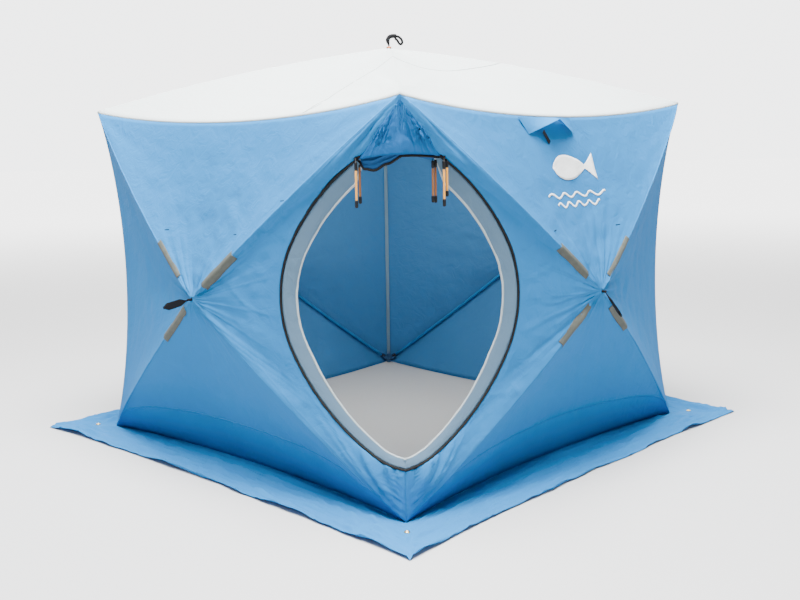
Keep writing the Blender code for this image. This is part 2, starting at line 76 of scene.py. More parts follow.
DOOR_ARCS = ((0.44, 30), (0.90, 62), (0.2964, 90))
ZIP_HALF, FLAP_WIDTH = 0.0055, 0.062
WALLS = {"front_left": 225, "front_right": 315, "back_right": 45, "back_left": 135}
CORNERS = {"right": 0, "back": 90, "left": 180, "front": 270}
DOOR_EDGE = {"front_left": 1, "front_right": 3}
UP = Vector((0, 0, 1))

# Fineness of the cloth
ROWS, COLUMNS, DOOR_ROWS = 46, 60, 40
CLOTH = 0.0014


def turned(degrees):
    angle = math.radians(degrees)
    return Vector((math.cos(angle), math.sin(angle), 0))


FACING = {wall: turned(at) for wall, at in WALLS.items()}
ALONG = {wall: UP.cross(facing) for wall, facing in FACING.items()}
FRONT = turned(270)
CORNER = FRONT * (SIDE / math.sqrt(2))


# ---------------- nodes
def link(tree, start, end):
    tree.links.new(start, end)


def node(tree, kind, **values):
    """A shader node; in_Some_Name sets its input Some Name, anything else an attribute."""
    made = tree.nodes.new(kind)
    for key, value in values.items():
        if key.startswith("in_"):
            made.inputs[key[3:].replace("_", " ")].default_value = value
        else:
            setattr(made, key, value)
    return made


# ---------------- camera, floor, light
AZIMUTH, ELEVATION, DISTANCE, ROLL = -1.42, 8.93, 5.01, -0.93
AIM_HEIGHT, LENS, SHIFT = 0.62, 44.96, 0.00875
DIM, BRIGHT = 0.6, 4.2  # the studio's strength in front of the shelter and behind it
FLOOR_REACH, FLOOR_GREY = 60.0, 0.48
LAMPS = (  # name, place, target, size, watts, colour
    ("softbox", (-0.3, -1.9, 7.0), (0, 0, 0.6), 4.5, 3400, (1, 1, 1)),
    ("inside", (0.0, -0.15, 1.50), (0, 0.35, 0), 1.0, 27, (1.0, 0.9, 0.76)),
)


def backdrop_glow(tree, towards_back):
    """The studio is brighter behind the shelter, so that light comes through the cloth."""
    glow = node(tree, "ShaderNodeMapRange", interpolation_type="SMOOTHSTEP", in_From_Min=0.15,
                in_From_Max=0.95, in_To_Min=DIM, in_To_Max=BRIGHT)
    link(tree, towards_back, glow.inputs["Value"])
    return glow.outputs["Result"]


def meet_backdrop(tree, shader):
    """Far from the shelter the floor brightens to the backdrop, so no horizon shows."""
    def math_node(operation, first, second):
        made = node(tree, "ShaderNodeMath", operation=operation)
        for slot, value in enumerate((first, second)):
            if isinstance(value, float):
                made.inputs[slot].default_value = value
            else:
                link(tree, value, made.inputs[slot])
        return made.outputs["Value"]

    place = node(tree, "ShaderNodeTexCoord").outputs["Object"]
    split = node(tree, "ShaderNodeSeparateXYZ")
    link(tree, place, split.inputs["Vector"])
    reach = node(tree, "ShaderNodeVectorMath", operation="LENGTH")
    link(tree, place, reach.inputs[0])
    glow = backdrop_glow(tree, math_node("DIVIDE", split.outputs["Y"], reach.outputs["Value"]))
    far = node(tree, "ShaderNodeMapRange", interpolation_type="SMOOTHSTEP", in_From_Min=1.5, in_From_Max=16.0)
    link(tree, reach.outputs["Value"], far.inputs["Value"])
    added = math_node("MAXIMUM", math_node("SUBTRACT", glow, DIM), 0.0)
    link(tree, math_node("MULTIPLY", added, far.outputs["Result"]), shader.inputs["Emission Strength"])
    shader.inputs["Emission Color"].default_value = (1, 1, 1, 1)


def placed(name, data, location, towards):
    """An object that looks along a direction."""
    made = bpy.data.objects.new(name, data)
    bpy.context.scene.collection.objects.link(made)
    made.location = location
    made.rotation_mode = "QUATERNION"
    made.rotation_quaternion = towards.to_track_quat("-Z", "Y")
    return made


def set_camera():
    azimuth, elevation = math.radians(AZIMUTH), math.radians(ELEVATION)
    back = Vector((math.sin(azimuth) * math.cos(elevation), -math.cos(azimuth) * math.cos(elevation),
                   math.sin(elevation)))
    cam = bpy.data.cameras.new("camera")
    cam.sensor_width, cam.lens, cam.shift_x, cam.clip_end = 36, LENS, SHIFT, 200
    eye = placed("camera", cam, UP * AIM_HEIGHT + back * DISTANCE, -back)
    eye.rotation_quaternion = eye.rotation_quaternion @ Quaternion((0, 0, 1), math.radians(ROLL))
    bpy.context.scene.camera = eye


def set_floor():
    mesh = bpy.data.meshes.new("floor")
    corners = [(x * FLOOR_REACH, y * FLOOR_REACH, 0) for x, y in ((-1, -1), (1, -1), (1, 1), (-1, 1))]
    mesh.from_pydata(corners, [], [(0, 1, 2, 3)])
    floor = bpy.data.objects.new("floor", mesh)
    bpy.context.scene.collection.objects.link(floor)
    white = bpy.data.materials.new("floor_white")
    white.use_nodes = True
    shader = white.node_tree.nodes["Principled BSDF"]
    shader.inputs["Base Color"].default_value = (FLOOR_GREY, FLOOR_GREY, FLOOR_GREY, 1)
    shader.inputs["Roughness"].default_value = 0.9
    shader.inputs["Specular IOR Level"].default_value = 0.1
    meet_backdrop(white.node_tree, shader)
    mesh.materials.append(white)


def set_light():
    world = bpy.data.worlds.new("studio")
    bpy.context.scene.world = world
    world.use_nodes = True
    tree = world.node_tree
    ground = tree.nodes["Background"]
    ground.inputs["Color"].default_value = (0.98, 0.99, 1.0, 1)
    split = node(tree, "ShaderNodeSeparateXYZ")
    link(tree, node(tree, "ShaderNodeTexCoord").outputs["Generated"], split.inputs["Vector"])
    link(tree, backdrop_glow(tree, split.outputs["Y"]), ground.inputs["Strength"])
    for name, place, target, size, power, colour in LAMPS:
        light = bpy.data.lights.new(name, "AREA")
        light.size, light.energy, light.color = size, power, colour
        placed(name, light, place, Vector(target) - Vector(place))


# ---------------- materials
WEAVE, RIB = 0.0011, 0.0022  # spacing of the threads and of the ribs on a tape
WAVE_FACTOR = 0.35  # a wave texture's scale times the spacing of its bands


def bumped(tree, height, strength, distance, under=None):
    """The normal for a height; under is the normal that it is laid on."""
    made = node(tree, "ShaderNodeBump", in_Strength=strength, in_Distance=distance)
    link(tree, height, made.inputs["Height"])
    if under:
        link(tree, under, made.inputs["Normal"])
    return made.outputs["Normal"]


def new_material(name, colour, spread, scale, specular):
    """A material whose colour drifts a little lighter and darker over the piece."""
    made = bpy.data.materials.new(name)
    made.use_nodes = True
    tree = made.node_tree
    shader = tree.nodes["Principled BSDF"]
    shader.inputs["Specular IOR Level"].default_value = specular
    place = node(tree, "ShaderNodeTexCoord").outputs["Object"]
    drift = node(tree, "ShaderNodeTexNoise", in_Scale=scale, in_Detail=3.0)
    link(tree, place, drift.inputs["Vector"])
    ramp = node(tree, "ShaderNodeValToRGB")
    low, high = ramp.color_ramp.elements
    low.position, high.position = 0.3, 0.7
    low.color = (*(c * (1 - spread) for c in colour), 1)
    high.color = (*(min(1.0, c * (1 + spread)) for c in colour), 1)
    link(tree, drift.outputs["Fac"], ramp.inputs["Fac"])
    link(tree, ramp.outputs["Color"], shader.inputs["Base Color"])
    return made, tree, shader, place


def cloth_material(name, colour, through, roughness=0.72, share=0.3, spread=0.035):
    """Coated taffeta: a fine over-and-under weave, small creases, and some light coming through."""
    made, tree, shader, place = new_material(name, colour, spread, 2.3, 0.1)
    shader.inputs["Roughness"].default_value = roughness
    threads = node(tree, "ShaderNodeMath", operation="MAXIMUM")
    for slot, bands in enumerate(("DIAGONAL", "Z")):
        thread = node(tree, "ShaderNodeTexWave", bands_direction=bands, in_Scale=WAVE_FACTOR / WEAVE,
                      in_Distortion=0.6, in_Detail=1.0)
        link(tree, place, thread.inputs["Vector"])
        link(tree, thread.outputs["Fac"], threads.inputs[slot])
    crease = node(tree, "ShaderNodeTexNoise", in_Scale=16.0, in_Detail=5.0, in_Roughness=0.55,
                  in_Distortion=1.4)
    link(tree, place, crease.inputs["Vector"])
    fine = bumped(tree, threads.outputs["Value"], 0.12, 0.0004)
    broad = bumped(tree, crease.outputs["Fac"], 0.32, 0.013, under=fine)
    link(tree, broad, shader.inputs["Normal"])

    glow = node(tree, "ShaderNodeBsdfTranslucent", in_Color=(*through, 1))
    link(tree, broad, glow.inputs["Normal"])
    mix = node(tree, "ShaderNodeMixShader")
    mix.inputs[0].default_value = share
    link(tree, shader.outputs["BSDF"], mix.inputs[1])
    link(tree, glow.outputs["BSDF"], mix.inputs[2])
    link(tree, mix.outputs["Shader"], tree.nodes["Material Output"].inputs["Surface"])
    return made


def webbing_material(name, colour, roughness=0.8):
    """Woven tape: ribs across it and a little fuzz."""
    made, tree, shader, place = new_material(name, colour, 0.12, 40.0, 0.2)
    shader.inputs["Roughness"].default_value = roughness
    ribs = node(tree, "ShaderNodeTexWave", bands_direction="DIAGONAL", in_Scale=WAVE_FACTOR / RIB,
                in_Distortion=1.0)
    link(tree, place, ribs.inputs["Vector"])
    link(tree, bumped(tree, ribs.outputs["Fac"], 0.35, 0.0006), shader.inputs["Normal"])
    return made


def hard_material(name, colour, roughness, metallic=0.0, grain=180.0, coat=0.0):
    """Moulded plastic, glass fibre or metal: a fine grain in height and in gloss."""
    made, tree, shader, place = new_material(name, colour, 0.1, 25.0, 0.25)
    shader.inputs["Metallic"].default_value = metallic
    shader.inputs["Coat Weight"].default_value = coat
    speckle = node(tree, "ShaderNodeTexNoise", in_Scale=grain, in_Detail=4.0)
    link(tree, place, speckle.inputs["Vector"])
    gloss = node(tree, "ShaderNodeMapRange", in_To_Min=max(0.05, roughness - 0.1),
                 in_To_Max=min(1.0, roughness + 0.12))
    link(tree, speckle.outputs["Fac"], gloss.inputs["Value"])
    link(tree, gloss.outputs["Result"], shader.inputs["Roughness"])
    link(tree, bumped(tree, speckle.outputs["Fac"], 0.3, 0.0002), shader.inputs["Normal"])
    return made


BLUE = cloth_material("blue_taffeta", (0.022, 0.21, 0.50), (0.05, 0.25, 0.55), roughness=0.75)
# Painted light: the back walls take a greyer copy of the blue cloth with paler light through it, so that seen
# from inside the shelter they look lit.
BACK_BLUE_LIT = cloth_material("blue_taffeta_painted_light", (0.055, 0.205, 0.43), (0.14, 0.26, 0.42), roughness=0.75)
# Painted shade: the cloth over the door is a darker copy of the same blue, standing for the shade between the
# creases there.
LINTEL_BLUE_SHADED = cloth_material("blue_lintel_painted_shade", (0.01, 0.09, 0.26), (0.03, 0.17, 0.45), roughness=0.75,
                            share=0.08)
SEAM_BLUE = cloth_material("blue_seam", (0.02, 0.18, 0.44), (0.03, 0.17, 0.45), share=0.15)
# Painted shade: the rolled door is the same blue cloth, darkened to stand for the shade in its bunched folds.
ROLL_BLUE_SHADED = cloth_material("blue_roll_painted_shade", (0.012, 0.07, 0.20), (0.02, 0.10, 0.28), share=0.08)
ROOF_WHITE = cloth_material("roof_taffeta", (0.74, 0.79, 0.78), (0.75, 0.82, 0.84), spread=0.02, share=0.35)
PALE = cloth_material("flap_mesh", (0.16, 0.26, 0.36), (0.30, 0.42, 0.52), share=0.5)
HEM_WHITE = cloth_material("flap_hem_cloth", (0.50, 0.56, 0.58), (0.6, 0.66, 0.68), share=0.3)
TAPE_GREY = webbing_material("sleeve_tape", (0.070, 0.076, 0.066), 0.7)
WEBBING = webbing_material("black_tape", (0.003, 0.003, 0.004))
NYLON = hard_material("black_nylon", (0.004, 0.004, 0.005), 0.45)
# Painted shade: the nylon feet and corner joints are coloured a dark blue so that they read as shaded cloth.
SHADED_CLOTH_BLUE = hard_material("nylon_painted_shade", (0.02, 0.06, 0.13), 0.55)
FIBRE = hard_material("pole_fibre", (0.035, 0.036, 0.04), 0.35, coat=0.3)
ZIP_BLACK = hard_material("zip_coil", (0.002, 0.002, 0.0025), 0.7, grain=400.0)
CORD_ORANGE = hard_material("pull_tube", (0.72, 0.32, 0.05), 0.5, grain=300.0)
# Painted shade: the inner pulls are the same orange tubes, darkened to brown to stand for the shade behind the
# door's edge.
CORD_SHADED = hard_material("pull_tube_shaded", (0.22, 0.09, 0.03), 0.5, grain=300.0)
BRASS = hard_material("eyelet_brass", (0.70, 0.49, 0.20), 0.3, metallic=1.0)
COPPER = hard_material("washer_copper", (0.45, 0.15, 0.07), 0.35, metallic=0.8)
ROOF_SEAM = cloth_material("roof_thread", (0.16, 0.19, 0.20), (0.3, 0.35, 0.37), share=0.1)
PRINT = cloth_material("white_print", (0.85, 0.87, 0.86), (0.8, 0.85, 0.9), share=0.15)
TAPE_PALE = cloth_material("corner_tape", (0.20, 0.31, 0.40), (0.3, 0.4, 0.5), share=0.3)
SNOW = hard_material("ground_seen", (0.86, 0.86, 0.86), 0.8)


# ---------------- mesh helpers
class Sheet:
    """Points, how far each follows the hub, and faces; points that fall together are one."""

    def __init__(self):
        self.points, self.weights, self.faces, self.lines, self.index = [], [], [], set(), {}

    def vertex(self, point, weight, line):
        key = tuple(round(c, 6) for c in point)
        at = self.index.get(key)
        if at is None:
            at = self.index[key] = len(self.points)
            self.points.append(Vector(point))
            self.weights.append(weight)
        if line:
            self.lines.add(at)
        return at

    def grid(self, rows, flip=False):
        """Rows of (point, weight, on a fold line)."""
        numbered = [[self.vertex(*item) for item in row] for row in rows]
        for low, high in zip(numbered, numbered[1:], strict=False):
            for a, b, c, d in zip(low, high, high[1:], low[1:], strict=False):
                corners = [a, b, c, d] if not flip else [d, c, b, a]
                corners = [v for k, v in enumerate(corners) if v != corners[k - 1]]
                if len(set(corners)) > 2:
                    self.faces.append(corners)


def piece(name, points, faces, finish, slot, body=None, smooth=True):
    """A mesh object in the part's frame, which rides a body when one is given."""
    mesh = bpy.data.meshes.new(name)
    mesh.from_pydata([tuple(p) for p in points], [], [tuple(f) for f in faces])
    mesh.materials.append(finish)
    mesh.update()
    if smooth:
        mesh.shade_smooth()
    made = bpy.data.objects.new(name, mesh)
    bpy.context.scene.collection.objects.link(made)
    if body:
        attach(made, body)
    return made


def thicken(made, depth):
    """Cloth gets its thickness on its inner side."""
    thick = made.modifiers.new("thickness", "SOLIDIFY")
    thick.thickness, thick.offset, thick.use_even_offset = depth, -1, False


def face_towards(made, direction):
    if sum(p.normal.dot(direction) * p.area for p in made.data.polygons) < 0:
        made.data.flip_normals()


def skin(stations, wide, ring=False, loop=False, flip=False):
    """Faces over stations of so many points each. A ring closes every station on itself, and a loop
    joins the last station to the first."""
    faces = []
    for i in range(stations if loop else stations - 1):
        n = (i + 1) % stations
        for j in range(wide if ring else wide - 1):
            k = (j + 1) % wide
            a, b, c, d = i * wide + j, i * wide + k, n * wide + k, n * wide + j
            faces.append((a, d, c, b) if flip else (a, b, c, d))
    return faces


def caps(stations, wide):
    """The end faces of a tube made of stations."""
    last = (stations - 1) * wide
    return [tuple(reversed(range(wide))), tuple(range(last, last + wide))]


def circle(centre, first, second, radius, count):
    angles = (2 * math.pi * k / count for k in range(count))
    return [centre + (first * math.cos(a) + second * math.sin(a)) * radius for a in angles]


def follow(made):
    """Bakes the piece's placement into its points; its weights, 1 at the hub and 0 at the rim, are not applied
    here.
    """
    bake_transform(made)


def sharpen(made, lines):
    """Folds stay crisp between points on the lines."""
    mesh = made.data
    sharp = mesh.attributes.get("sharp_edge") or mesh.attributes.new("sharp_edge", "BOOLEAN", "EDGE")
    marks = [all(v in lines for v in edge.vertices) for edge in mesh.edges]
    sharp.data.foreach_set("value", marks)


def tube_mesh(path, radii, side, sides=10, closed=False):
    """Points and faces of a round tube along a path; radii is one number or one for each point."""
    points = []
    count = len(path)
    radii = [radii] * count if isinstance(radii, float) else radii
    for i, point in enumerate(path):
        before = path[i - 1] if (i or closed) else path[i]
        after = path[(i + 1) % count] if (i + 1 < count or closed) else path[i]
        along = (after - before).normalized()
        across = (side - along * side.dot(along)).normalized()
        points += circle(point, across, along.cross(across), radii[i], sides)
    faces = skin(count, sides, ring=True, loop=closed)
    return points, faces if closed else faces + caps(count, sides)


def joined(*parts):
    """Parts given as (points, faces) in one."""
    points, faces = [], []
    for some_points, some_faces in parts:
        base = len(points)
        points += some_points
        faces += [tuple(base + i for i in face) for face in some_faces]
    return points, faces


def curve_through(points, steps):
    """A smooth curve through points (Catmull-Rom)."""
    points = [Vector(p) for p in points]
    padded = [points[0] * 2 - points[1], *points, points[-1] * 2 - points[-2]]
    out = []
    for i in range(1, len(padded) - 2):
        p0, p1, p2, p3 = padded[i - 1:i + 3]
        for k in range(steps):
            t = k / steps
            out.append(0.5 * (2 * p1 + (p2 - p0) * t + (2 * p0 - 5 * p1 + 4 * p2 - p3) * t * t
                              + (3 * p1 - p0 - 3 * p2 + p3) * t ** 3))
    out.append(points[-1])
    return out


# ---------------- the cloth's shape, as in the frame
def wall_point(wall, along, out, height):
    return FACING[wall] * out + ALONG[wall] * along + UP * height


def wall_hub(wall):
    return wall_point(wall, 0, SIDE / 2 + HUB_OUT, HUB_HEIGHT)


def drawn(t):
    """How far a rim is drawn in at a share t of its length, 1 in the middle."""
    return (4 * t * (1 - t)) ** 0.9 if 0 < t < 1 else 0.0


def wall_edges(wall):
    """The wall's four rims, as (start, end, how far the middle is drawn in)."""
    half = SIDE / 2
    ends = [wall_point(wall, u, half, z) for u, z in
            ((-half, WALL_FOOT), (half, WALL_FOOT), (half, EAVE), (-half, EAVE))]
    facing = FACING[wall]
    right, left = turned(WALLS[wall] + 45), turned(WALLS[wall] - 45)
    eave_pull = UP * -EAVE_SAG - facing * EAVE_PULL
    pulls = (facing * -BOTTOM_PULL, right * -EDGE_PULL, eave_pull, left * -EDGE_PULL)
    return [(ends[k], ends[(k + 1) % 4], pulls[k]) for k in range(4)]


def outline_arcs():
    """The arcs of the door's upper right quarter, as (centre x, centre z, radius, last angle)."""
    x, z, first, before = DOOR_HALF_WIDTH, 0.0, 0, 0.0
    arcs = []
    for radius, last in DOOR_ARCS:
        step = before - radius
        x += step * math.cos(math.radians(first))
        z += step * math.sin(math.radians(first))
        arcs.append((x, z, radius, last))
        first, before = last, radius
    return arcs


ARCS = outline_arcs()


def quarter_point(angle, offset):
    x, z, radius, _ = next(arc for arc in ARCS if angle <= arc[3])
    a = math.radians(angle)
    return (0.0 if angle >= 90 else x + (radius + offset) * math.cos(a)), z + (radius + offset) * math.sin(a)


def outline_point(turn, offset):
    """A point of the door's right half from top (0) to bottom (1), as (x, height)."""
    angle = 90 - 180 * turn
    x, z = quarter_point(abs(angle), offset)
    return x, DOOR_MIDDLE + (z if angle >= 0 else -z)


def door_axes(x):
    hub = wall_hub("front_left" if x < 0 else "front_right")
    across = hub - CORNER
    across.z = 0
    across.normalize()
    out = across.cross(UP)
    return across, out if out.y < 0 else -out


def door_point(x, z, lift):
    """A place on the door's surface, which is folded at the front corner, lifted off it."""
    across, out = door_axes(x)
    if abs(x) < 1e-6:
        return CORNER + FRONT * (lift / -out.y) + UP * z
    return CORNER + across * abs(x) + out * lift + UP * z


# ---------------- creases
def fan(du, dz, reach, count, seed):
    """Folds that spread from a point, as a height of about -1 to 1 that fades with the distance."""
    r = math.hypot(du, dz)
    if r < 1e-4:
        return 0.0
    a = math.atan2(dz, du)

    def streaks(times, at):
        return noise.noise((math.cos(a) * count * times, math.sin(a) * count * times, seed + at))

    crisp = ridge(streaks(1.7, 2.2), 0.11)
    height = streaks(1, r * 0.8) + 0.5 * streaks(2.6, 7.3 + r * 1.5) + 0.45 * crisp
    return height * min(1.0, r / 0.06) * math.exp(-r / reach)


def ridge(value, width):
    """A narrow crest where the value crosses zero."""
    return max(0.0, 1 - abs(value) / width) ** 2


def wall_crease(wall, u, z, slack):
    """How far the cloth stands out at a place on a wall; slack is 0 on a fold line or a rim."""
    seed = 10.0 + WALLS[wall] * 0.37
    half = SIDE / 2
    height = 0.0
    for cz, size, reach in ((0.0, 0.013, 0.36), (EAVE, 0.010, 0.34)):
        for cu in (-half, half):
            front = (wall == "front_left" and cu > 0) or (wall == "front_right" and cu < 0)
            height += (1.6 if front else 1.0) * size * fan(u - cu, z - cz, reach, 9.0, seed + cu + cz)
    height += 0.011 * fan(u, z - HUB_HEIGHT, 0.30, 4.5, seed + 3.1)
    r = math.hypot(u, z - HUB_HEIGHT)
    height += 0.0065 * math.exp(-(r / 0.24) ** 2) * noise.noise((u * 20, z * 20, seed)) * min(1.0, r / 0.03)
    height += 0.016 * slack * noise.noise((u * 2.1, z * 2.1, seed))
    bend = noise.noise((u * 1.7 + 5, z * 1.7, seed + 9))
    height += 0.0045 * slack * ridge(noise.noise((u * 3.3 + bend * 2, z * 3.3, seed + 21)), 0.06)
    height += 0.0050 * (0.3 + slack) * noise.noise((u * 12 + z * 7 + bend * 3, z * 9 - u * 4, seed + 40))
    return height + 0.0022 * (0.4 + slack) * noise.noise((u * 30 + bend * 4, z * 26, seed + 55))


# ---------------- walls and roof
class Cloth:
    """A finished sheet that tapes, seams and prints are laid on."""

    def __init__(self, made, weights, direction):
        self.mesh, self.weights, self.direction = made.data, weights, direction
        self.tree = BVHTree.FromPolygons([v.co.copy() for v in made.data.vertices],
                                         [tuple(p.vertices) for p in made.data.polygons])

    def under(self, point, lift):
        """The place on the sheet under a point, lifted off it, and how far it follows the hub."""
        start = point + self.direction * 1.0
        hit, normal, face, _ = self.tree.ray_cast(start, -self.direction)
        if hit is None:
            hit, normal, face, _ = self.tree.find_nearest(point)
        if normal.dot(self.direction) < 0:
            normal = -normal
        corners = self.mesh.polygons[face].vertices
        shares = poly_3d_calc([self.mesh.vertices[i].co for i in corners], hit)
        weight = sum(s * self.weights[i] for s, i in zip(shares, corners, strict=True))
        return hit + normal * lift, weight


def spaced(i, count):
    """Rows lie closer together near the hub."""
    return (i / count) ** 1.25


def cone(hub, facing, start, end, pull, crease):
    """Rows of cloth from the hole at a hub to a rim; crease(place, slack) is how far it stands out."""
    rows = []
    for i in range(ROWS + 1):
        f = spaced(i, ROWS)
        row = []
        for j in range(COLUMNS + 1):
            t = j / COLUMNS
            ray = start.lerp(end, t) + pull * drawn(t) - hub
            hole = HOLE / (ray - facing * ray.dot(facing)).length
            s = hole + (1 - hole) * f
            p = hub + ray * s + facing * (POLE_BOW * 4 * s * (1 - s) * abs(2 * t - 1) ** 1.5)
            slack = 16 * t * (1 - t) * s * (1 - s)
            p += facing * crease(p, slack) * edge_fade(i)
            row.append((p, 1 - f, j in (0, COLUMNS)))
        rows.append(row)
    return rows


def wall_cone(wall, hub, start, end, pull):
    def crease(place, slack):
        return wall_crease(wall, place.dot(ALONG[wall]), place.z, slack)

    return cone(hub, FACING[wall], start, end, pull, crease)


def edge_fade(i):
    """No crease at the hub's hole and at a rim that is sewn to something."""
    return min(1.0, i / 4) * min(1.0, (ROWS - i) / 4)


def door_strip(wall, hub, start, end):
    """The cloth between a hub and the door, from the pole lines to the door's outline."""
    cone = wall_cone(wall, hub, start, end, Vector((0, 0, 0)))
    outer = [row[0] for row in reversed(cone)] + cone[0][1:-1] + [row[-1] for row in cone]
    sign = -1 if wall == "front_left" else 1
    steps = len(outer) - 1
    inner = []
    for k in range(steps + 1):
        turn = k / steps if end.z < start.z else 1 - k / steps
        x, z = outline_point(turn, ZIP_HALF * 0.6)
        inner.append(door_point(sign * x, z, 0))
    rows = []
    for g in range(DOOR_ROWS + 1):
        share = g / DOOR_ROWS
        row = []
        for k, ((p, w, _), q) in enumerate(zip(outer, inner, strict=True)):
            spot = p.lerp(q, share)
            if 0 < g < DOOR_ROWS:
                slack = 4 * share * (1 - share)
                fade = min(1.0, g / 4) * min(1.0, (DOOR_ROWS - g) / 3)
                fade *= min(1.0, k / 5, (steps - k) / 5)
                own = wall_crease(wall, spot.dot(ALONG[wall]), spot.z, slack)
                spot += FACING[wall] * own * fade
            row.append((spot, w * (1 - share), g == 0))
        rows.append(row)
    return rows


def make_wall(wall):
    hub = wall_hub(wall)
    sheet = Sheet()
    for k, (start, end, pull) in enumerate(wall_edges(wall)):
        if DOOR_EDGE.get(wall) == k:
            sheet.grid(door_strip(wall, hub, start, end), flip=True)
        else:
            sheet.grid(wall_cone(wall, hub, start, end, pull))
    # The back walls get the copy of the blue with painted light.
    finish = BACK_BLUE_LIT if wall.startswith("back") else BLUE
    made = piece(f"wall_cloth_{wall}", sheet.points, sheet.faces, finish, "blue_fabric")
    return finish_sheet(made, sheet, wall, FACING[wall])


def finish_sheet(made, sheet, name, direction):
    face_towards(made, direction)
    sharpen(made, sheet.lines)
    thicken(made, CLOTH)
    follow(made)
    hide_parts("roof_fabric" if name == "roof" else f"wall_{name}", f"hub_skin_{name}")
    return Cloth(made, sheet.weights, direction), made


def roof_crease(x, y, slack):
    height = 0.0
    for name, at in CORNERS.items():
        c = turned(at) * (SIDE / math.sqrt(2))
        deep, reach, count = (0.020, 0.45, 11.0) if name == "front" else (0.004, 0.25, 8.0)
        height += deep * fan(x - c.x, y - c.y, reach, count, 2.0 + at)
    height += 0.003 * fan(x, y, 0.2, 4.0, 5.5)
    height += 0.010 * slack * noise.noise((x * 2.3, y * 2.3, 4.4))
    return height + 0.001 * slack * noise.noise((x * 12, y * 12, 8.8))


HEM_OUT, HEM_DROP = 0.0015, 0.009


def make_roof():
    reach = SIDE / math.sqrt(2)
    sheet = Sheet()
    for start, end in (("right", "back"), ("back", "left"), ("left", "front"), ("front", "right")):
        a, b = (turned(CORNERS[n]) * reach + UP * (EAVE + ROOF_LIFT) for n in (start, end))
        out = (turned(CORNERS[start]) + turned(CORNERS[end])).normalized()
        pull = UP * -EAVE_SAG - out * EAVE_PULL
        rows = cone(UP * PEAK, UP, a, b, pull, lambda p, slack: roof_crease(p.x, p.y, slack))
        hem = [(p + out * HEM_OUT - UP * HEM_DROP, 0.0, False) for p, _, _ in rows[-1]]
        sheet.grid([*rows, hem])
    made = piece("roof_cloth", sheet.points, sheet.faces, ROOF_WHITE, "roof_fabric")
    return finish_sheet(made, sheet, "roof", UP)


def make_roof_seam(cloth):
    """The stitched seam of the panel over the door corner, from the left eave round to the right one."""
    places = ((-0.372, -1.042), (-0.20, -0.82), (0.0, -0.60), (0.27, -0.25), (0.54, 0.0), (1.042, 0.372))
    path = curve_through([Vector((x, y, PEAK)) for x, y in places], 16)
    laid("roof_seam", cloth, [ribbon(cloth, path, 0.0017, 0.0006)], ROOF_SEAM, "roof_fabric", 0.0004)


def ribbon(cloth, path, half, lift, raised=0.0):
    """A strip laid on a cloth along a path of points: points, weights, faces."""
    points, weights = [], []
    inside = 7 if half > 0.01 else 1
    profile = [(-1.0, 0.0), *((-0.9 + 1.8 * (k + 0.5) / inside, 1.0) for k in range(inside)), (1.0, 0.0)]
    for i, point in enumerate(path):
        along = (path[min(i + 1, len(path) - 1)] - path[max(i - 1, 0)]).normalized()
        across = along.cross(cloth.direction).normalized()
        for side, up in profile:
            p, w = cloth.under(point + across * (side * half), lift + raised * up)
            points.append(p)
            weights.append(w)
    return points, weights, skin(len(path), len(profile))


def laid(name, cloth, strips, finish, slot, thickness=0.0008):
    """Strips on a cloth, as one piece that follows the cloth's shape."""
    points, faces = joined(*((some_points, some_faces) for some_points, _, some_faces in strips))
    made = piece(name, points, faces, finish, slot)
    face_towards(made, cloth.direction)
    thicken(made, thickness)
    follow(made)


def path_on(wall, places, spacing=0.02):
    """Evenly spaced points between places given as (along, height)."""
    out = []
    for (u0, z0), (u1, z1) in zip(places, places[1:], strict=False):
        count = max(2, int(math.hypot(u1 - u0, z1 - z0) / spacing))
        shares = (i / count for i in range(count))
        out += [wall_point(wall, u0 + (u1 - u0) * s, OUTSIDE, z0 + (z1 - z0) * s) for s in shares]
    u, z = places[-1]
    return [*out, wall_point(wall, u, OUTSIDE, z)]


def on_pole(sign_u, sign_z, share):
    """(along, height) at a share of the way from a wall's hub to a corner."""
    return sign_u * share, HUB_HEIGHT + share * ((EAVE if sign_z > 0 else 0.0) - HUB_HEIGHT)


BACK_TAPES = tuple((side, up, 0.08, 0.26) for up in (1, -1) for side in (-1, 1))
BACK_TACKS = ((-0.25, 1.04), (0.22, 1.04))
TAPES = {  # (side, up or down, from, to) along the pole lines
    "front_left": ((-1, 1, 0.10, 0.272), (1, 1, 0.075, 0.25), (-1, -1, 0.06, 0.26)),
    "front_right": ((-1, 1, 0.095, 0.26), (1, 1, 0.065, 0.25), (-1, -1, 0.07, 0.25), (1, -1, 0.09, 0.25)),
}
TACKS = {  # (along, height)
    "front_left": ((-0.249, 1.044), (0.216, 1.046), (0.498, 1.187)),
    "front_right": ((-0.263, 1.042), (0.217, 1.032)),
}


